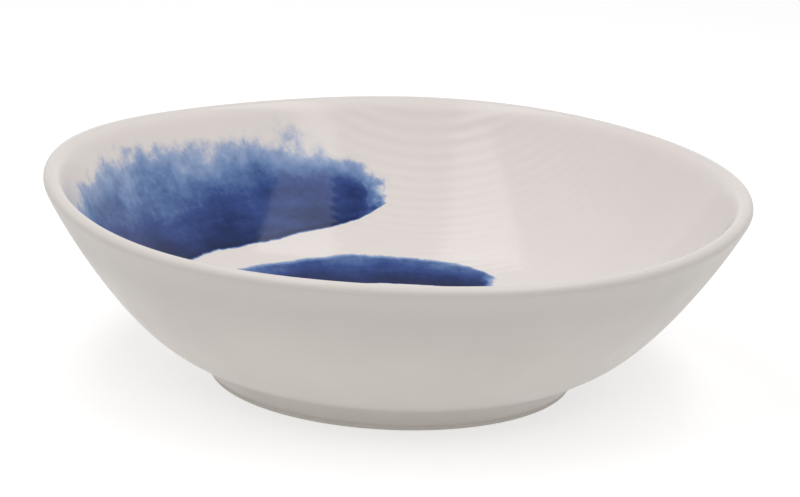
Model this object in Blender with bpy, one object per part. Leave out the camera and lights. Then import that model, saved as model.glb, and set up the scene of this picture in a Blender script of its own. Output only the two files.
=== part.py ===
"""A round salad bowl of glazed stoneware on a foot ring, with two blue brush strokes inside.

The clay body carries the foot ring under its base. Three coats of glaze cover both, and stop short of
the ring's bare lower edge, which stands on the table. The strokes lie in windows of the inside coat.
Lengths are in metres, +Z is up, and the origin is on the table under the middle of the bowl.
"""

import math
from collections import namedtuple

import bmesh
import bpy
from mathutils import Matrix, Vector
from mathutils.geometry import interpolate_bezier

# Rim and wall, measured over the glaze
RIM_DIAMETER = 0.280
RIM_HEIGHT = 0.0786
LIP_THICKNESS = 0.0054
WALL_ANGLE_AT_LIP = math.radians(61.8)
WALL_ANGLE_AT_CREASE = math.radians(14)
WALL_REACH_AT_LIP = 0.0168
WALL_REACH_AT_CREASE = 0.0207

# The hollow that holds the salad
HOLLOW_FLOOR_DIAMETER = 0.090
HOLLOW_REACH_AT_FLOOR = 0.050
HOLLOW_REACH_AT_LIP = 0.032
FLOOR_THICKNESS = 0.0062

# The foot, which flares to the crease where it meets the wall
FOOT_DIAMETER = 0.1443
FOOT_RING_WIDTH = 0.0082
FOOT_FLARE = 0.0113
CREASE_HEIGHT = 0.0125
FOOT_BARE_HEIGHT = 0.0021
FOOT_ROUNDING = 0.0015
BASE_RECESS = 0.0056
BASE_COVE = 0.0012

# Coats of glaze, and the clearance between pieces that touch
GLAZE_THICKNESS = 0.0005
CLEARANCE = 0.0003

# How far the firing lifted the rim, by the number of waves around it, and where each has a crest
WARP_TWO_WAVES = 0.0011
CREST_OF_TWO_WAVES = math.radians(4)
WARP_THREE_WAVES = 0.0007
CREST_OF_THREE_WAVES = math.radians(53)
WARP_FOUR_WAVES = 0.0008
CREST_OF_FOUR_WAVES = math.radians(-7)

# Brush strokes: widths run down the hollow from the lip, and angles run from +X
STROKE_BELOW_LIP = 0.010
BROAD_STROKE_WIDTH = 0.053
BROAD_STROKE_START = math.radians(93)
BROAD_STROKE_END = math.radians(207)
STROKE_SPACING = 0.010
NARROW_STROKE_WIDTH = 0.018
NARROW_STROKE_START = math.radians(57)
NARROW_STROKE_END = math.radians(165)
STROKE_TIP_SHARE = 0.3

# How finely the round forms are divided
TURN_STEPS = 60
HOLLOW_STEPS = 10
LIP_STEPS = 5
WALL_STEPS = 8
ROUNDING_STEPS = 3
STROKE_ROWS = 4
SHARP_ANGLE = math.radians(40)

# Places that several pieces share
CREASE = Vector((FOOT_DIAMETER / 2 + FOOT_FLARE, 0, CREASE_HEIGHT))
GLAZE_END = Vector((FOOT_DIAMETER / 2, 0, FOOT_BARE_HEIGHT))
FOOT_BORE_RADIUS = FOOT_DIAMETER / 2 - FOOT_RING_WIDTH
CLAY_DEPTH = GLAZE_THICKNESS + CLEARANCE

Stroke = namedtuple("Stroke", "start end distance width")


def slope(angle):
    """The direction that rises outwards at this angle from the table."""
    return Vector((math.cos(angle), 0, math.sin(angle)))


def arc(centre, spoke, turn, steps):
    """Points of an arc from centre + spoke, turned clockwise with +X to the right and +Z up."""
    turns = [Matrix.Rotation(turn * step / steps, 3, "Y") for step in range(steps + 1)]
    return [centre + rotation @ spoke for rotation in turns]


def lip_skin():
    """The lip's round edge, from the hollow over the top to the outside."""
    centre = Vector(((RIM_DIAMETER - LIP_THICKNESS) / 2, 0, RIM_HEIGHT - LIP_THICKNESS / 2))
    inwards = slope(WALL_ANGLE_AT_LIP + math.pi / 2) * LIP_THICKNESS / 2
    return arc(centre, inwards, math.pi, LIP_STEPS)


def hollow_skin():
    """The glazed hollow, from the middle of its floor to the lip."""
    floor_height = BASE_RECESS + FLOOR_THICKNESS
    middle = Vector((0, 0, floor_height))
    edge = Vector((HOLLOW_FLOOR_DIAMETER / 2, 0, floor_height))
    edge_handle = edge + Vector((HOLLOW_REACH_AT_FLOOR, 0, 0))
    lip = lip_skin()[0]
    lip_handle = lip - slope(WALL_ANGLE_AT_LIP) * HOLLOW_REACH_AT_LIP
    return [middle] + interpolate_bezier(edge, edge_handle, lip_handle, lip, HOLLOW_STEPS + 1)


def wall_skin():
    """The glazed outside of the wall, from the lip to the crease."""
    lip = lip_skin()[-1]
    lip_handle = lip - slope(WALL_ANGLE_AT_LIP) * WALL_REACH_AT_LIP
    crease_handle = CREASE + slope(WALL_ANGLE_AT_CREASE) * WALL_REACH_AT_CREASE
    return interpolate_bezier(lip, lip_handle, crease_handle, CREASE, WALL_STEPS + 1)


def facing(start, end):
    """The direction into the clay, which lies on the right of a skin's path."""
    step = (end - start).normalized()
    return Vector((step.z, 0, -step.x))


def inset(skin, depth):
    """The skin moved into the clay by a depth, with mitred corners."""
    normals = [facing(start, end) for start, end in zip(skin, skin[1:])]
    befores = normals[:1] + normals
    afters = normals + normals[-1:]
    moved = []
    for point, before, after in zip(skin, befores, afters):
        mitre = (before + after) / (1 + before.dot(after))
        moved.append(point + mitre * depth)
    return moved


def coat_section(skin):
    """A coat of glaze under a skin."""
    return skin + inset(skin, GLAZE_THICKNESS)[::-1]


def inside_coat_section():
    """The coat of the hollow, carried over the lip."""
    return coat_section(hollow_skin() + lip_skin()[1:])


def outside_coat_section():
    """The coat of the wall, from just under the lip to the foot's bare edge."""
    skin = wall_skin() + [GLAZE_END]
    skin[0] += (skin[1] - skin[0]).normalized() * CLEARANCE
    return coat_section(skin)


def base_coat_section():
    """The coat under the base, which turns down inside the foot ring to its bare edge."""
    outside = FOOT_BORE_RADIUS - CLEARANCE
    inside = outside - GLAZE_THICKNESS
    cove_centre = Vector((inside - BASE_COVE, 0, BASE_RECESS - BASE_COVE))
    cove = arc(cove_centre, Vector((0, 0, BASE_COVE)), math.pi / 2, ROUNDING_STEPS)
    hem = [Vector((inside, 0, FOOT_BARE_HEIGHT)), Vector((outside, 0, FOOT_BARE_HEIGHT))]
    top_height = BASE_RECESS + GLAZE_THICKNESS
    top = [Vector((outside, 0, top_height)), Vector((0, 0, top_height))]
    return [Vector((0, 0, BASE_RECESS))] + cove + hem + top


def clay_section():
    """The clay body: hollow, lip, wall, the top of the flare, and the flat base that the foot ring is under."""
    clay = inset(hollow_skin() + lip_skin()[1:] + wall_skin()[1:] + [GLAZE_END], CLAY_DEPTH)
    crease, flare_end = clay[-2:]
    base_height = BASE_RECESS + CLAY_DEPTH
    base_edge = crease.lerp(flare_end, (crease.z - base_height) / (crease.z - flare_end.z))
    return clay[:-1] + [base_edge, Vector((0, 0, base_height))]


def foot_section():
    """The foot ring, seated under the clay's base, with a bare rounded bead below the glaze."""
    seat_height = BASE_RECESS + CLAY_DEPTH - CLEARANCE
    past_end = GLAZE_END + (GLAZE_END - CREASE).normalized() * CLEARANCE
    top, rebate = inset([CREASE, past_end], CLAY_DEPTH)
    seat = top.lerp(rebate, (top.z - seat_height) / (top.z - rebate.z))
    bead_height = FOOT_BARE_HEIGHT - CLEARANCE
    rounding = min(FOOT_ROUNDING, bead_height, FOOT_RING_WIDTH / 3)
    outer_centre = Vector((FOOT_DIAMETER / 2 - rounding, 0, rounding))
    inner_centre = Vector((FOOT_BORE_RADIUS + rounding, 0, rounding))
    outer_edge = arc(outer_centre, Vector((rounding, 0, 0)), math.pi / 2, ROUNDING_STEPS)
    inner_edge = arc(inner_centre, Vector((0, 0, -rounding)), math.pi / 2, ROUNDING_STEPS)
    bead = Vector((FOOT_DIAMETER / 2, 0, bead_height))
    return [seat, rebate, bead] + outer_edge + inner_edge + [Vector((FOOT_BORE_RADIUS, 0, seat_height))]


def warped(point):
    """The point lifted with the rim, the more the higher it stands above the crease."""
    share = max(0, (point.z - CREASE_HEIGHT) / (RIM_HEIGHT - CREASE_HEIGHT))
    azimuth = math.atan2(point.y, point.x)
    lift = WARP_TWO_WAVES * math.cos(2 * (azimuth - CREST_OF_TWO_WAVES))
    lift += WARP_THREE_WAVES * math.cos(3 * (azimuth - CREST_OF_THREE_WAVES))
    lift += WARP_FOUR_WAVES * math.cos(4 * (azimuth - CREST_OF_FOUR_WAVES))
    return point + Vector((0, 0, lift * share**2))


def fired_surface(name, colour, roughness):
    """A material of one colour, as bare clay or glaze comes out of the kiln."""
    material = bpy.data.materials.new(name)
    material.use_nodes = True
    shader = material.node_tree.nodes["Principled BSDF"]
    shader.inputs["Base Color"].default_value = (*colour, 1)
    shader.inputs["Roughness"].default_value = roughness
    shader.inputs["Metallic"].default_value = 0
    material.diffuse_color = (*colour, 1)
    return material


def finished(name, solid, material, bowl):
    """The object of a solid that was modelled on an unwarped bowl."""
    for vertex in solid.verts:
        vertex.co = warped(vertex.co)
    bmesh.ops.recalc_face_normals(solid, faces=solid.faces)
    mesh = bpy.data.meshes.new(name)
    solid.to_mesh(mesh)
    solid.free()
    mesh.materials.append(material)
    mesh.shade_smooth()
    mesh.set_sharp_from_angle(angle=SHARP_ANGLE)
    piece = bpy.data.objects.new(name, mesh)
    piece.parent = bowl
    bpy.context.scene.collection.objects.link(piece)
    return piece


def turned(name, section, material, bowl):
    """A piece turned about the bowl's axis, from a section that ends on the axis or closes on itself."""
    solid = bmesh.new()
    points = [solid.verts.new(point) for point in section]
    edges = [solid.edges.new(ends) for ends in zip(points, points[1:])]
    if section[0].x > 0:
        edges.append(solid.edges.new((points[-1], points[0])))
    bmesh.ops.spin(
        solid, geom=points + edges, axis=(0, 0, 1), angle=2 * math.pi, steps=TURN_STEPS, use_merge=True
    )
    bmesh.ops.remove_doubles(solid, verts=solid.verts, dist=CLEARANCE / 100)
    return finished(name, solid, material, bowl)


def hollow_point(distance, azimuth, depth):
    """The point this far down the hollow from the lip, and this deep under its skin."""
    skin = hollow_skin()[::-1]
    deep = inset(hollow_skin(), depth)[::-1]
    lengths = [(end - start).length for start, end in zip(skin, skin[1:])]
    stretch = 0
    while distance > lengths[stretch]:
        distance -= lengths[stretch]
        stretch += 1
    point = deep[stretch].lerp(deep[stretch + 1], distance / lengths[stretch])
    return Matrix.Rotation(azimuth, 3, "Z") @ point


def stroke_solid(stroke, growth, near, far):
    """A crescent around the hollow, blunt at its tips, from a near to a far depth under the skin."""
    solid = bmesh.new()
    columns = round((stroke.end - stroke.start) * TURN_STEPS / (2 * math.pi))
    bmesh.ops.create_grid(solid, x_segments=columns, y_segments=STROKE_ROWS, size=1)
    raised = bmesh.ops.extrude_face_region(solid, geom=solid.faces[:])["geom"]
    upper = [item for item in raised if isinstance(item, bmesh.types.BMVert)]
    bmesh.ops.translate(solid, verts=upper, vec=(0, 0, 1))
    half_angle = (stroke.end - stroke.start) / 2 + growth / hollow_point(stroke.distance, 0, 0).x
    for vertex in solid.verts:
        along, across, level = vertex.co
        swell = STROKE_TIP_SHARE + (1 - STROKE_TIP_SHARE) * math.sqrt(max(0, 1 - along**2))
        distance = stroke.distance + across * (stroke.width / 2 * swell + growth)
        azimuth = (stroke.start + stroke.end) / 2 + along * half_angle
        vertex.co = hollow_point(distance, azimuth, near + (far - near) * level)
    return solid


def brush_stroke(name, stroke, material, inside_coat, bowl):
    """A stroke as thick as the inside coat, and the window in that coat that it lies in."""
    finished(name, stroke_solid(stroke, 0, 0, GLAZE_THICKNESS), material, bowl)
    hole = stroke_solid(stroke, CLEARANCE, -CLAY_DEPTH, 2 * CLAY_DEPTH)
    window = finished(name + "_window", hole, material, bowl)
    window.hide_render = True
    window.display_type = "WIRE"
    cut = inside_coat.modifiers.new(window.name, "BOOLEAN")
    cut.operation = "DIFFERENCE"
    cut.solver = "EXACT"
    cut.object = window


def main():
    """Clears the scene and builds the bowl."""
    for item in list(bpy.data.objects):
        bpy.data.objects.remove(item, do_unlink=True)

    bowl = bpy.data.objects.new("salad_bowl", None)
    bpy.context.scene.collection.objects.link(bowl)

    bare_clay = fired_surface("bare_clay", (0.62, 0.57, 0.51), 0.7)
    gloss_white = fired_surface("gloss_white_glaze", (0.72, 0.68, 0.65), 0.16)
    satin_white = fired_surface("satin_white_glaze", (0.70, 0.66, 0.62), 0.35)
    light_cobalt = fired_surface("light_cobalt", (0.12, 0.20, 0.42), 0.16)
    deep_cobalt = fired_surface("deep_cobalt", (0.03, 0.06, 0.19), 0.16)

    turned("clay_body", clay_section(), bare_clay, bowl)
    turned("foot_ring", foot_section(), bare_clay, bowl)
    turned("base_glaze", base_coat_section(), satin_white, bowl)
    turned("outside_glaze", outside_coat_section(), satin_white, bowl)
    inside_coat = turned("inside_glaze", inside_coat_section(), gloss_white, bowl)

    broad_distance = STROKE_BELOW_LIP + BROAD_STROKE_WIDTH / 2
    broad = Stroke(BROAD_STROKE_START, BROAD_STROKE_END, broad_distance, BROAD_STROKE_WIDTH)
    brush_stroke("broad_blue_stroke", broad, light_cobalt, inside_coat, bowl)

    spacing = BROAD_STROKE_WIDTH / 2 + STROKE_SPACING + NARROW_STROKE_WIDTH / 2
    narrow = Stroke(NARROW_STROKE_START, NARROW_STROKE_END, broad_distance + spacing, NARROW_STROKE_WIDTH)
    brush_stroke("narrow_blue_stroke", narrow, deep_cobalt, inside_coat, bowl)


main()
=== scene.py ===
import math

import bmesh
import bpy
import numpy as np
from mathutils import Matrix, Vector
from mathutils.geometry import interpolate_bezier


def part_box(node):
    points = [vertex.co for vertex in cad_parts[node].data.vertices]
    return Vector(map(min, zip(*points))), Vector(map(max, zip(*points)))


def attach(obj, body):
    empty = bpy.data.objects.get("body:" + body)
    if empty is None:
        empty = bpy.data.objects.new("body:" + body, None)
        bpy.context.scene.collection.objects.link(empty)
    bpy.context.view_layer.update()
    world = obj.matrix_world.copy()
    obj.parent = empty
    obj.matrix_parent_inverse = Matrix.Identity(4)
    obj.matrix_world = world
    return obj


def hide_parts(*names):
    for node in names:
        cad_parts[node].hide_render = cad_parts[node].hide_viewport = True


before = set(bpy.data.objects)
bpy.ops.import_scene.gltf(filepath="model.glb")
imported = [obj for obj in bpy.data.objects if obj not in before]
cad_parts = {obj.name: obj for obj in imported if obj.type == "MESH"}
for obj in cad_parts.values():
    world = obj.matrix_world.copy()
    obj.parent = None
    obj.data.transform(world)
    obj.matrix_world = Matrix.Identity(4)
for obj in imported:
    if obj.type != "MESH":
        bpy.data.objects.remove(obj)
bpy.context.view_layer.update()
print("frame loaded:", ", ".join(sorted(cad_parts)))

# The turned form that every coat follows, measured over the glaze, in metres
bowl = {
    "rimRadius": 0.140,
    "rimHeight": 0.0786,
    "lipThickness": 0.0054,
    "lipAngle": math.radians(61.8),
    "creaseAngle": math.radians(14),
    "wallReachAtLip": 0.0168,
    "wallReachAtCrease": 0.0207,
    "floorRadius": 0.045,
    "floorHeight": 0.0118,
    "hollowReachAtFloor": 0.050,
    "hollowReachAtLip": 0.032,
    "crease": Vector((0.08345, 0, 0.0125)),
    "glazeEnd": Vector((0.07215, 0, 0.0021)),
    "coat": 0.0005,
    "gap": 0.0003,  # between coats and clay, as in the solids
    "rimWaves": {2: (0.0011, 4), 3: (0.0007, 53), 4: (0.0008, -7)},  # waves: lift, angle of a crest
    "sharpAngle": math.radians(40),
    "weld": 1e-6,  # points closer than this are one
}
quarterTurn = math.pi / 2


# Paths run in the X-Z plane, with the clay on their right
def slopeLine(angle):
    return Vector((math.cos(angle), 0, math.sin(angle)))


def arcPath(centre, spoke, turn, steps):
    return [centre + Matrix.Rotation(turn * k / steps, 3, "Y") @ spoke for k in range(steps + 1)]


def lipPath(steps):
    half = bowl["lipThickness"] / 2
    centre = Vector((bowl["rimRadius"] - half, 0, bowl["rimHeight"] - half))
    inwards = slopeLine(bowl["lipAngle"] + quarterTurn) * half
    return arcPath(centre, inwards, math.pi, steps)


def hollowPath(steps):
    edge = Vector((bowl["floorRadius"], 0, bowl["floorHeight"]))
    lip = lipPath(1)[0]
    edgeHandle = edge + Vector((bowl["hollowReachAtFloor"], 0, 0))
    lipHandle = lip - slopeLine(bowl["lipAngle"]) * bowl["hollowReachAtLip"]
    return [Vector((0, 0, edge.z))] + interpolate_bezier(edge, edgeHandle, lipHandle, lip, steps + 1)


def wallPath(steps):
    lip = lipPath(1)[-1]
    lipHandle = lip - slopeLine(bowl["lipAngle"]) * bowl["wallReachAtLip"]
    creaseHandle = bowl["crease"] + slopeLine(bowl["creaseAngle"]) * bowl["wallReachAtCrease"]
    return interpolate_bezier(lip, lipHandle, creaseHandle, bowl["crease"], steps + 1)


def insetPath(path, depth):
    steps = [(end - start).normalized() for start, end in zip(path, path[1:])]
    normals = [Vector((step.z, 0, -step.x)) for step in steps]
    moved = []
    for point, before, after in zip(path, normals[:1] + normals, normals + normals[-1:]):
        moved.append(point + (before + after) / (1 + before.dot(after)) * depth)
    return moved


# The kiln left the rim a little wavy, more so the higher up
def kilnWarp(form):
    base = bowl["crease"].z
    for vert in form.verts:
        share = max(0, (vert.co.z - base) / (bowl["rimHeight"] - base))
        azimuth = math.atan2(vert.co.y, vert.co.x)
        for waves, (height, crest) in bowl["rimWaves"].items():
            vert.co.z += height * math.cos(waves * (azimuth - math.radians(crest))) * share**2


def spunForm(section, steps):
    form = bmesh.new()
    verts = [form.verts.new(point) for point in section]
    edges = [form.edges.new(pair) for pair in zip(verts, verts[1:])]
    if section[0].x > 0:
        edges.append(form.edges.new((verts[-1], verts[0])))
    bmesh.ops.spin(
        form, geom=verts + edges, axis=(0, 0, 1), angle=2 * math.pi, steps=steps, use_merge=True
    )
    bmesh.ops.remove_doubles(form, verts=form.verts, dist=bowl["weld"])
    bmesh.ops.recalc_face_normals(form, faces=form.faces)
    return form


def makePiece(name, form, material, slotName, *nodes):
    kilnWarp(form)
    mesh = bpy.data.meshes.new(name)
    form.to_mesh(mesh)
    form.free()
    mesh.materials.append(material)
    mesh.shade_smooth()
    mesh.set_sharp_from_angle(angle=bowl["sharpAngle"])
    piece = bpy.data.objects.new(name, mesh)
    bpy.context.scene.collection.objects.link(piece)
    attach(piece, "root")
    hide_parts(*nodes)
    print(f"{name}: {len(mesh.polygons)} faces, stands for {', '.join(nodes)}")


# Shader helpers: a socket is linked, anything else is set
def addNode(tree, kind, sockets, **settings):
    node = tree.nodes.new(kind)
    for key, value in settings.items():
        setattr(node, key, value)
    for key, value in sockets.items():
        if isinstance(value, bpy.types.NodeSocket):
            tree.links.new(value, node.inputs[key])
        else:
            node.inputs[key].default_value = value
    return node


def calc(tree, operation, *values):
    return addNode(tree, "ShaderNodeMath", dict(enumerate(values)), operation=operation).outputs[0]


def ramp(tree, value, low, high, toLow=0.0, toHigh=1.0):
    sockets = {"Value": value, "From Min": low, "From Max": high, "To Min": toLow, "To Max": toHigh}
    return addNode(tree, "ShaderNodeMapRange", sockets, interpolation_type="SMOOTHSTEP").outputs[0]


# In the finishes below, a noise is given by its scale, detail and roughness
def noise(tree, place, scale, detail, roughness=0.5):
    sockets = {"Vector": place, "Scale": scale, "Detail": detail, "Roughness": roughness}
    return addNode(tree, "ShaderNodeTexNoise", sockets).outputs["Fac"]


def centredNoise(tree, place, *settings):
    return calc(tree, "SUBTRACT", noise(tree, place, *settings), 0.5)


def blendColour(tree, share, first, second):
    node = addNode(tree, "ShaderNodeMix", {0: share, 6: first, 7: second}, data_type="RGBA")
    return node.outputs[2]


def axisDistance(tree, place):
    axes = addNode(tree, "ShaderNodeSeparateXYZ", {"Vector": place}).outputs
    flat = addNode(tree, "ShaderNodeCombineXYZ", {"X": axes["X"], "Y": axes["Y"]}).outputs[0]
    return addNode(tree, "ShaderNodeVectorMath", {0: flat}, operation="LENGTH").outputs["Value"]


def newMaterial(name):
    material = bpy.data.materials.new(name)
    material.use_nodes = True
    tree = material.node_tree
    place = addNode(tree, "ShaderNodeTexCoord", {}).outputs["Object"]
    return material, tree, tree.nodes["Principled BSDF"], place


def roughen(tree, shader, height, strength, distance):
    sockets = {"Height": height, "Strength": strength, "Distance": distance}
    bump = addNode(tree, "ShaderNodeBump", sockets)
    tree.links.new(bump.outputs[0], shader.inputs["Normal"])


# Two brush strokes around the hollow: distances run down the hollow from the lip
strokes = {
    "broad": {
        "arc": (93, 207),  # degrees around the axis
        "below": 0.010,
        "width": 0.053,
        "wash": 0.75,  # the share of a half width that thins out towards the lip
        "bleed": 1.0,  # how far the blots move that side, in half widths
        "seed": 3.0,
    },
    "narrow": {
        "arc": (57, 165),
        "below": 0.073,
        "width": 0.018,
        "wash": 0.25,
        "bleed": 0.4,
        "seed": 11.0,
    },
    "pigment": [  # colours by how much cobalt there is
        (0.00, (0.60, 0.61, 0.67)),
        (0.20, (0.27, 0.36, 0.56)),
        (0.40, (0.125, 0.215, 0.42)),
        (0.62, (0.033, 0.070, 0.24)),
        (0.82, (0.012, 0.028, 0.122)),
        (1.00, (0.006, 0.015, 0.065)),
    ],
}

# How both strokes are laid: across a stroke, -1 is its floor side and 1 its lip side
brush = {
    "pathSteps": 200,  # of the hollow's path, which the distances are measured along
    "tipShare": 0.3,  # of the width that is left at the tips
    "blots": (42, 6, 0.62),
    "cloud": (24, 5, 0.6),
    "grain": (420, 3, 0.6),
    "streaks": (1.0, 4, 0.6),
    "streaksAround": 4,  # per radian
    "streaksOutwards": 190,  # per metre
    "sideWander": 0.3,  # how far the blots move the sides, in half widths
    "tipWander": 0.35,  # and the tips, in half lengths
    "poolSpan": (-1.02, -0.94),  # where the colour comes in on the floor's side
    "washEnd": 1.05,  # where it has run out on the lip's side
    "tipSpan": (0.88, 1.0),  # where it ends at the tips, in half lengths
    "loadSpan": (-0.9, 0.9),
    "load": (0.82, 0.48),  # cobalt at the two ends of that span
    "beadSpan": (-0.97, -0.8),
    "bead": 0.16,  # more of it in the bead along the pool
    "uneven": (0.35, 0.9, 0.14),  # by streaks, cloud and grain
    "leastLoad": 0.06,
}


def radiusBelowLip(distance):
    path = hollowPath(brush["pathSteps"])[::-1]
    for start, end in zip(path, path[1:]):
        step = (end - start).length
        if distance <= step:
            return start.lerp(end, distance / step).x
        distance -= step


# How much cobalt one stroke leaves at a point: 0 is none, and 1 the deepest colour
def strokeDensity(tree, place, stroke):
    start, end = (math.radians(angle) for angle in stroke["arc"])
    turn = (0, 0, -(start + end) / 2)
    turned = addNode(tree, "ShaderNodeMapping", {"Vector": place, "Rotation": turn}).outputs[0]
    axes = addNode(tree, "ShaderNodeSeparateXYZ", {"Vector": turned}).outputs
    azimuth = calc(tree, "ARCTAN2", axes["Y"], axes["X"])
    radius = axisDistance(tree, turned)
    blots = centredNoise(tree, turned, *brush["blots"])
    cloud = centredNoise(tree, turned, *brush["cloud"])
    grain = centredNoise(tree, turned, *brush["grain"])

    lipSide = radiusBelowLip(stroke["below"])
    floorSide = radiusBelowLip(stroke["below"] + stroke["width"])
    along = calc(tree, "ABSOLUTE", calc(tree, "DIVIDE", azimuth, (end - start) / 2))
    reach = calc(tree, "MINIMUM", along, 1)
    swell = calc(tree, "SQRT", calc(tree, "SUBTRACT", 1, calc(tree, "POWER", reach, 2)))
    widthShare = ramp(tree, swell, 0, 1, brush["tipShare"], 1)
    halfWidth = calc(tree, "MULTIPLY", (lipSide - floorSide) / 2, widthShare)
    offset = calc(tree, "SUBTRACT", radius, (lipSide + floorSide) / 2)
    across = calc(tree, "DIVIDE", offset, halfWidth)
    across = calc(tree, "MULTIPLY_ADD", blots, brush["sideWander"], across)

    # Faint bristle lines run around the hollow
    around = calc(tree, "MULTIPLY", azimuth, brush["streaksAround"])
    outwards = calc(tree, "MULTIPLY", radius, brush["streaksOutwards"])
    sockets = {"X": around, "Y": outwards, "Z": stroke["seed"]}
    bristle = addNode(tree, "ShaderNodeCombineXYZ", sockets).outputs[0]
    streaks = centredNoise(tree, bristle, *brush["streaks"])

    # The colour stops in a crisp pool on the floor's side, and bleeds into the glaze on the lip's side
    bled = calc(tree, "MULTIPLY_ADD", blots, stroke["bleed"], across)
    tip = calc(tree, "MULTIPLY_ADD", blots, brush["tipWander"], along)
    pool = ramp(tree, across, *brush["poolSpan"])
    wash = ramp(tree, bled, 1 - stroke["wash"], brush["washEnd"], 1, 0)
    body = calc(tree, "MULTIPLY", pool, wash)
    body = calc(tree, "MULTIPLY", body, ramp(tree, tip, *brush["tipSpan"], 1, 0))

    load = ramp(tree, across, *brush["loadSpan"], *brush["load"])
    load = calc(tree, "ADD", load, ramp(tree, across, *brush["beadSpan"], brush["bead"], 0))
    for part, share in zip((streaks, cloud, grain), brush["uneven"]):
        load = calc(tree, "MULTIPLY_ADD", part, share, load)
    return calc(tree, "MULTIPLY", body, calc(tree, "MAXIMUM", load, brush["leastLoad"]))


def pigmentColour(tree, cobalt):
    node = addNode(tree, "ShaderNodeValToRGB", {"Fac": cobalt})
    stops = node.color_ramp.elements
    while len(stops) < len(strokes["pigment"]):
        stops.new(0.5)
    for stop, (where, colour) in zip(stops, strokes["pigment"]):
        stop.position = where
        stop.color = (*colour, 1)
    return node.outputs[0]


# What the two glazes share: a sheen that varies in patches, and a rippled surface
patchSpan = (0.3, 0.7)  # of the noise, from the smoothest patches to the roughest


def patchyRoughness(tree, place, finish):
    patches = noise(tree, place, *finish["patches"])
    return ramp(tree, patches, *patchSpan, *finish["roughness"])


def rippleGlaze(tree, shader, place, finish):
    shader.inputs["Specular IOR Level"].default_value = finish["specular"]
    ripples = noise(tree, place, *finish["ripples"])
    roughen(tree, shader, ripples, finish["rippleStrength"], finish["rippleDepth"])


# The glossy coat of the hollow: insets are measured from the rim's outer edge
glossFinish = {
    "thinWhite": (0.74, 0.685, 0.652, 1),
    "thickWhite": (0.79, 0.739, 0.705, 1),
    "pools": (14, 3),
    "lipWhite": (0.69, 0.638, 0.608, 1),  # painted shade: the top of the lip is painted darker
    "lipInsets": (0.0065, 0.0035),
    "outerWhite": (0.675, 0.631, 0.594, 1),  # and like the wall's lighter painted band under the lip, on its outer side
    "outerInsets": (0.0032, 0.0012),
    "coverSpan": (0.0, 0.16),  # the cobalt that begins to hide the white, and that hides it
    "roughness": (0.07, 0.12),
    "patches": (60, 3),
    "matt": 0.23,  # added to the roughness where the coat meets the wall
    "mattInsets": (0.0035, 0),
    "specular": 0.15,
    "ripples": (320, 2),
    "rippleStrength": 0.05,
    "rippleDepth": 0.0004,
}


def nearRim(tree, radius, insets, *levels):
    return ramp(tree, radius, *(bowl["rimRadius"] - inset for inset in insets), *levels)


def glossGlaze():
    finish = glossFinish
    material, tree, shader, place = newMaterial("gloss_white_glaze")
    radius = axisDistance(tree, place)
    pools = noise(tree, place, *finish["pools"])
    white = blendColour(tree, pools, finish["thinWhite"], finish["thickWhite"])
    # The lip's top gets painted shade, and its outer side the wall's colour
    for part in ("lip", "outer"):
        share = nearRim(tree, radius, finish[part + "Insets"])
        white = blendColour(tree, share, white, finish[part + "White"])
    broad = strokeDensity(tree, place, strokes["broad"])
    cobalt = calc(tree, "MAXIMUM", broad, strokeDensity(tree, place, strokes["narrow"]))
    covered = ramp(tree, cobalt, *finish["coverSpan"])
    colour = blendColour(tree, covered, white, pigmentColour(tree, cobalt))
    tree.links.new(colour, shader.inputs["Base Color"])
    matt = nearRim(tree, radius, finish["mattInsets"], 0, finish["matt"])
    roughness = calc(tree, "ADD", patchyRoughness(tree, place, finish), matt)
    tree.links.new(roughness, shader.inputs["Roughness"])
    rippleGlaze(tree, shader, place, finish)
    return material


# The satin coat of the wall and the base
satinFinish = {
    "paintedLightLowWhite": (0.80, 0.748, 0.702, 1),  # painted light and shade: the lower wall is painted lighter and the upper darker, along a wavy border
    "paintedShadeHighWhite": (0.655, 0.614, 0.576, 1),
    "paintedShadeBorder": (18, 3),
    "paintedShadeBorderWander": 0.03,
    "paintedShadeHeights": (0.035, 0.085),
    "paintedLightEdgeWhite": (0.68, 0.637, 0.598, 1),  # painted light: the band under the lip is kept lighter
    "paintedLightEdgeHeights": (0.062, 0.072),
    "paintedShadeFootWhite": (0.68, 0.632, 0.588, 1),  # painted shade: the foot below the crease is painted darker
    "footShadeSpan": (-0.003, 0.0005),  # heights about the crease, where the painted shade turns to the wall's white
    "roughness": (0.36, 0.46),
    "patches": (70, 3),
    "specular": 0.25,
    "ripples": (420, 3),
    "rippleStrength": 0.08,
    "rippleDepth": 0.0004,
}


def satinGlaze():
    finish = satinFinish
    material, tree, shader, place = newMaterial("satin_white_glaze")
    height = addNode(tree, "ShaderNodeSeparateXYZ", {"Vector": place}).outputs["Z"]
    # Painted light and shade: the wall is painted lighter low down and darker higher up
    paintedShadeBorder = calc(tree, "MULTIPLY_ADD", noise(tree, place, *finish["paintedShadeBorder"]), finish["paintedShadeBorderWander"], height)
    paintedShadeShare = ramp(tree, paintedShadeBorder, *finish["paintedShadeHeights"])
    white = blendColour(tree, paintedShadeShare, finish["paintedLightLowWhite"], finish["paintedShadeHighWhite"])
    # Painted light: a lighter band on the wall under the lip
    edge = ramp(tree, height, *finish["paintedLightEdgeHeights"])
    white = blendColour(tree, edge, white, finish["paintedLightEdgeWhite"])
    # Painted shade: the foot and base below the crease are darker
    wall = ramp(tree, height, *(bowl["crease"].z + rise for rise in finish["footShadeSpan"]))
    colour = blendColour(tree, wall, finish["paintedShadeFootWhite"], white)
    tree.links.new(colour, shader.inputs["Base Color"])
    tree.links.new(patchyRoughness(tree, place, finish), shader.inputs["Roughness"])
    rippleGlaze(tree, shader, place, finish)
    return material


# The bare clay of the foot ring, and of the body under its coats
clayFinish = {
    "grain": (900, 4, 0.65),
    "pale": (0.70, 0.66, 0.615, 1),
    "dark": (0.64, 0.60, 0.55, 1),
    "darkSpan": (0.3, 0.75),  # of the grain
    "roughness": (0.62, 0.85),
    "roughSpan": (0.2, 0.8),
    "pitStrength": 0.35,
    "pitDepth": 0.0003,
}


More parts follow.
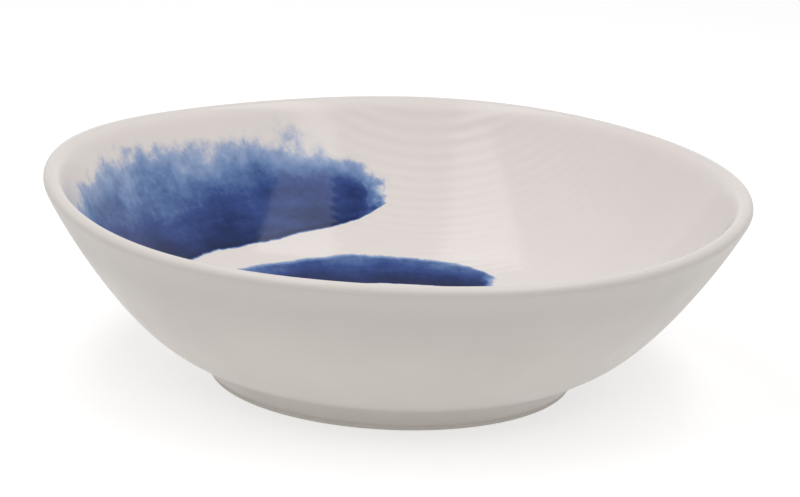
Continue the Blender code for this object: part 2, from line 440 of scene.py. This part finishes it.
def bareClay():
    finish = clayFinish
    material, tree, shader, place = newMaterial("bare_clay")
    grain = noise(tree, place, *finish["grain"])
    colour = blendColour(tree, ramp(tree, grain, *finish["darkSpan"]), finish["pale"], finish["dark"])
    tree.links.new(colour, shader.inputs["Base Color"])
    roughness = ramp(tree, grain, *finish["roughSpan"], *finish["roughness"])
    tree.links.new(roughness, shader.inputs["Roughness"])
    roughen(tree, shader, grain, finish["pitStrength"], finish["pitDepth"])
    return material


gloss = glossGlaze()
satin = satinGlaze()
clay = bareClay()
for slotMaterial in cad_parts["clay_body"].material_slots:
    slotMaterial.material = clay
print("materials made")

# The coat of the hollow, with low ribs across it, carried over the lip in a soft roll
hollowGlaze = {
    "rows": 680,
    "columns": 60,
    "endAngle": math.radians(5),  # half the arc that the first and last row take up
    "skinSteps": 400,
    "rollSteps": 12,
    "backLipSteps": 5,
    "backSteps": 6,
    "rollDepth": 0.006,  # below the rim, where the roll starts
    "rollSwell": 0.001,  # how far it stands in from the hollow's own line
    "swellReach": 0.025,  # the height over which it grows
    "crestInset": 0.0035,  # from the rim's outer edge
    "crestReach": 0.0028,  # handles of the roll's outer side, at the crest and at the wall
    "wallReach": 0.0022,
    "ribPitch": 0.0030,
    "ribHeight": 0.00012,  # at the lip, and less towards the middle
    "ribTurn": math.radians(-4),
    "ribFade": 0.0015,  # the ribs die away this close to the lip
    "ribSpread": (-0.042, -0.022, 0.085, 0.115),  # and at the left and the right between these places
}


def rolledHollow():
    piece = hollowGlaze
    rollStart = bowl["rimHeight"] - piece["rollDepth"]
    path = [point for point in hollowPath(piece["skinSteps"]) if point.z < rollStart]
    swollen = []
    for point, proud in zip(path, insetPath(path, -piece["rollSwell"])):
        share = max(0, 1 - (rollStart - point.z) / piece["swellReach"])
        swollen.append(point.lerp(proud, share**2))
    return swollen


def rolledLip(start, slope):
    piece = hollowGlaze
    crest = Vector((bowl["rimRadius"] - piece["crestInset"], 0, bowl["rimHeight"]))
    corner = start + slope * (crest.z - start.z) / slope.z
    wall = lipPath(1)[-1]
    crestHandle = crest + Vector((piece["crestReach"], 0, 0))
    wallHandle = wall + slopeLine(bowl["lipAngle"]) * piece["wallReach"]
    points = piece["rollSteps"] + 1
    innerHandles = [end.lerp(corner, 2 / 3) for end in (start, crest)]  # as of a parabola
    inner = interpolate_bezier(start, *innerHandles, crest, points)
    return inner + interpolate_bezier(crest, crestHandle, wallHandle, wall, points)[1:]


# A round sheet on the skin's line, whose rows of points follow the ribs
def ribbedSheet(skin):
    piece = hollowGlaze
    radii = [point.x for point in skin]
    heights = [point.z for point in skin]
    slopes = np.gradient(heights, radii)
    rim = radii[-1]
    lastRow = rim * math.cos(piece["endAngle"])
    ribs = Matrix.Rotation(piece["ribTurn"], 3, "Z")

    form = bmesh.new()
    bmesh.ops.create_grid(form, x_segments=piece["columns"], y_segments=piece["rows"], size=1)
    for vert in form.verts:
        across, along = vert.co.x, vert.co.y
        y = along * lastRow
        x = math.sin(across * math.pi / 2) * math.sqrt(rim**2 - y**2)
        if abs(along) > 1 - bowl["weld"]:  # the first and last row lie along the rim
            y = math.copysign(math.sqrt(rim**2 - x**2), along)
        radius = min(math.hypot(x, y), rim)
        fade = min(1, (rim - radius) / piece["ribFade"])
        height = piece["ribHeight"] * (radius / rim) ** 2 * fade**2 * (3 - 2 * fade)
        height *= np.interp(x, piece["ribSpread"], (0, 1, 1, 0))
        rib = height / 2 * math.cos(2 * math.pi * y / piece["ribPitch"])
        slope = np.interp(radius, radii, slopes)
        outwards = Vector((x, y, 0)).normalized()
        normal = (Vector((0, 0, 1)) - outwards * slope).normalized()
        vert.co = ribs @ (Vector((x, y, np.interp(radius, radii, heights))) + normal * rib)
    return form


# The sheet's edge grows ring by ring over the lip and down the back, which is then closed
def growBack(form, path):
    ring = [line for line in form.edges if line.is_boundary]
    for point in path:
        grown = bmesh.ops.extrude_edge_only(form, edges=ring)["geom"]
        ringVerts = {item for item in grown if isinstance(item, bmesh.types.BMVert)}
        lines = [item for item in grown if isinstance(item, bmesh.types.BMEdge)]
        ring = [line for line in lines if ringVerts.issuperset(line.verts)]
        for vert in ringVerts:
            vert.co.z = 0
            vert.co = vert.co.normalized() * point.x + Vector((0, 0, point.z))
    bmesh.ops.edgeloop_fill(form, edges=ring)
    bmesh.ops.recalc_face_normals(form, faces=form.faces)


def makeHollowGlaze():
    piece = hollowGlaze
    skin = rolledHollow()
    roll = rolledLip(skin[-1], skin[-1] - skin[-2])
    edge = piece["rollSteps"] // 2  # the sheet ends on the roll's inner side
    form = ribbedSheet(skin + roll[1 : edge + 1])
    backLip = insetPath(lipPath(piece["backLipSteps"]), bowl["coat"])[::-1]
    backHollow = insetPath(hollowPath(piece["backSteps"]), bowl["coat"])[1:-1][::-1]
    growBack(form, roll[edge + 1 :] + backLip + backHollow)
    nodes = ("inside_glaze", "broad_blue_stroke", "narrow_blue_stroke")
    makePiece("hollow_glaze", form, gloss, "gloss_white_glaze", *nodes)


# The coat of the wall, which rounds into the foot at the crease
wallGlaze = {
    "turnSteps": 320,
    "wallSteps": 40,
    "creaseRound": 0.0035,  # how far up the wall the rounding starts
    "flareShare": 0.6,  # of that, how far it goes down the flare
    "creasePull": 0.6,  # how near to the crease its handles come
    "creaseSteps": 8,
    "flareSteps": 3,
}


def makeWallGlaze():
    piece = wallGlaze
    wall = wallPath(piece["wallSteps"])
    crease, end = bowl["crease"], bowl["glazeEnd"]
    above = [point for point in wall if (point - crease).length > piece["creaseRound"]]
    fromWall = crease + slopeLine(bowl["creaseAngle"]) * piece["creaseRound"]
    toFlare = crease + (end - crease).normalized() * piece["creaseRound"] * piece["flareShare"]
    handles = [point.lerp(crease, piece["creasePull"]) for point in (fromWall, toFlare)]
    rounding = interpolate_bezier(fromWall, *handles, toFlare, piece["creaseSteps"] + 1)
    flare = [toFlare.lerp(end, k / piece["flareSteps"]) for k in range(1, piece["flareSteps"] + 1)]
    skin = above + rounding + flare
    form = spunForm(skin + insetPath(skin, bowl["coat"])[::-1], piece["turnSteps"])
    makePiece("wall_glaze", form, satin, "satin_white_glaze", "outside_glaze")


# The ring that the bowl stands on, with a bare rounded bead below the glaze
footRing = {
    "turnSteps": 320,
    "width": 0.0082,
    "beadGap": bowl["gap"] / 10,  # between the glaze's end and the bead
    "rounding": 0.0015,
    "roundSteps": 8,
}


def makeFootRing():
    piece = footRing
    crease, end = bowl["crease"], bowl["glazeEnd"]
    bore = end.x - piece["width"]
    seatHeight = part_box("foot_ring")[1].z
    depth = bowl["coat"] + bowl["gap"]
    past = end + (end - crease).normalized() * bowl["gap"]
    top, rebate = insetPath([crease, past], depth)
    seat = top.lerp(rebate, (top.z - seatHeight) / (top.z - rebate.z))
    bead = Vector((end.x, 0, end.z - piece["beadGap"]))
    r = piece["rounding"]
    outer = arcPath(Vector((end.x - r, 0, r)), Vector((r, 0, 0)), quarterTurn, piece["roundSteps"])
    inner = arcPath(Vector((bore + r, 0, r)), Vector((0, 0, -r)), quarterTurn, piece["roundSteps"])
    section = [seat, rebate, bead] + outer + inner + [Vector((bore, 0, seatHeight))]
    form = spunForm(section, piece["turnSteps"])
    makePiece("foot_bead", form, clay, "bare_clay", "foot_ring")


# The coat under the base, coved into the foot ring
baseGlaze = {"turnSteps": 240, "recess": 0.0056, "cove": 0.0012, "coveSteps": 8, "floorRings": 6}


def makeBaseGlaze():
    piece = baseGlaze
    outside = bowl["glazeEnd"].x - footRing["width"] - bowl["gap"]
    inside = outside - bowl["coat"]
    recess, cove = piece["recess"], piece["cove"]
    edge = inside - cove
    ceiling = [Vector((edge * k / piece["floorRings"], 0, recess)) for k in range(piece["floorRings"])]
    centre = Vector((edge, 0, recess - cove))
    bend = arcPath(centre, Vector((0, 0, cove)), quarterTurn, piece["coveSteps"])
    hem = [Vector((radius, 0, bowl["glazeEnd"].z)) for radius in (inside, outside)]
    top = [Vector((radius, 0, recess + bowl["coat"])) for radius in (outside, 0)]
    form = spunForm(ceiling + bend + hem + top, piece["turnSteps"])
    makePiece("base_coat", form, satin, "satin_white_glaze", "base_glaze")


makeHollowGlaze()
makeWallGlaze()
makeFootRing()
makeBaseGlaze()

# A pale floor that is white to the eye and keeps the bowl's soft shadow, a plain sky and soft boxes
studio = {
    "floorSize": 12.0,
    "floorColour": (0.60, 0.60, 0.595, 1),
    "floorRoughness": 0.9,
    "floorGlow": 0.255,
    "floorWhite": 0.32,  # more glow where the floor is seen
    "white": (1, 1, 1, 1),
    "zenith": (0.25, 0.25, 0.25, 1),
    "horizon": (0.65, 0.65, 0.66, 1),
    "boxSize": (1.4, 0.3),
    "lights": {  # a soft box above each side, and a weak one low on the left
        "left_box": {"place": (-0.38, -0.24, 0.98), "aim": (0.30, -0.39, 0.17), "watts": 4.9},
        "right_box": {"place": (0.43, -0.24, 0.98), "aim": (-0.25, -0.39, 0.17), "watts": 4.7},
        "left_fill": {"place": (-0.95, -0.35, 0.55), "aim": (0, 0, 0.06), "watts": 0.6},
    },
}


def seenDirectly(tree):
    rays = addNode(tree, "ShaderNodeLightPath", {}).outputs
    seen = calc(tree, "MAXIMUM", rays["Is Camera Ray"], rays["Is Glossy Ray"])
    return calc(tree, "MAXIMUM", seen, rays["Is Transmission Ray"])


def makeFloor():
    form = bmesh.new()
    bmesh.ops.create_grid(form, x_segments=1, y_segments=1, size=studio["floorSize"] / 2)
    mesh = bpy.data.meshes.new("floor")
    form.to_mesh(mesh)
    form.free()
    material, tree, shader, _ = newMaterial("pale_floor")
    shader.inputs["Base Color"].default_value = studio["floorColour"]
    shader.inputs["Roughness"].default_value = studio["floorRoughness"]
    shader.inputs["Specular IOR Level"].default_value = 0
    shader.inputs["Emission Color"].default_value = studio["white"]
    glow = calc(tree, "MULTIPLY_ADD", seenDirectly(tree), studio["floorWhite"], studio["floorGlow"])
    tree.links.new(glow, shader.inputs["Emission Strength"])
    mesh.materials.append(material)
    floor = bpy.data.objects.new("floor", mesh)
    bpy.context.scene.collection.objects.link(floor)


def makeWorld():
    world = bpy.data.worlds.new("studio")
    bpy.context.scene.world = world
    world.use_nodes = True
    tree = world.node_tree
    direction = addNode(tree, "ShaderNodeTexCoord", {}).outputs["Generated"]
    height = addNode(tree, "ShaderNodeSeparateXYZ", {"Vector": direction}).outputs["Z"]
    sky = blendColour(tree, height, studio["horizon"], studio["zenith"])
    colour = blendColour(tree, seenDirectly(tree), sky, studio["white"])
    tree.links.new(colour, tree.nodes["Background"].inputs["Color"])


def makeLights():
    for name, light in studio["lights"].items():
        lamp = bpy.data.lights.new(name, "AREA")
        lamp.shape = "RECTANGLE"
        lamp.size, lamp.size_y = studio["boxSize"]
        lamp.energy = light["watts"]
        item = bpy.data.objects.new(name, lamp)
        item.location = light["place"]
        direction = Vector(light["aim"]) - item.location
        item.rotation_euler = direction.to_track_quat("-Z", "Y").to_euler()
        bpy.context.scene.collection.objects.link(item)


makeFloor()
makeWorld()
makeLights()
print("studio lit")

# The photograph's view: in front, a little above, and tilted a touch
camera = {
    "lens": 226.8,
    "sensorWidth": 36,
    "clipStart": 0.01,
    "distance": 2.0,
    "elevation": math.radians(16.91),
    "roll": math.radians(2.66),
    "target": Vector((0, 0, 0.0397)),
    "aimRight": 0.0022,  # how far the view's middle is off the target
    "aimUp": 0.0117,
}


def makeCamera():
    lens = bpy.data.cameras.new("camera")
    lens.lens = camera["lens"]
    lens.sensor_width = camera["sensorWidth"]
    lens.clip_start = camera["clipStart"]
    back = Vector((0, -math.cos(camera["elevation"]), math.sin(camera["elevation"])))
    tilt = Matrix.Rotation(quarterTurn - camera["elevation"], 4, "X")
    roll = Matrix.Rotation(camera["roll"], 4, "Z")
    lookUp = Matrix.Rotation(math.atan(camera["aimUp"] / camera["distance"]), 4, "X")
    lookRight = Matrix.Rotation(-math.atan(camera["aimRight"] / camera["distance"]), 4, "Y")
    stand = Matrix.Translation(camera["target"] + back * camera["distance"])
    item = bpy.data.objects.new("camera", lens)
    item.matrix_world = stand @ tilt @ roll @ lookUp @ lookRight
    bpy.context.scene.collection.objects.link(item)
    bpy.context.scene.camera = item


makeCamera()
bpy.context.scene.view_settings.view_transform = "Standard"
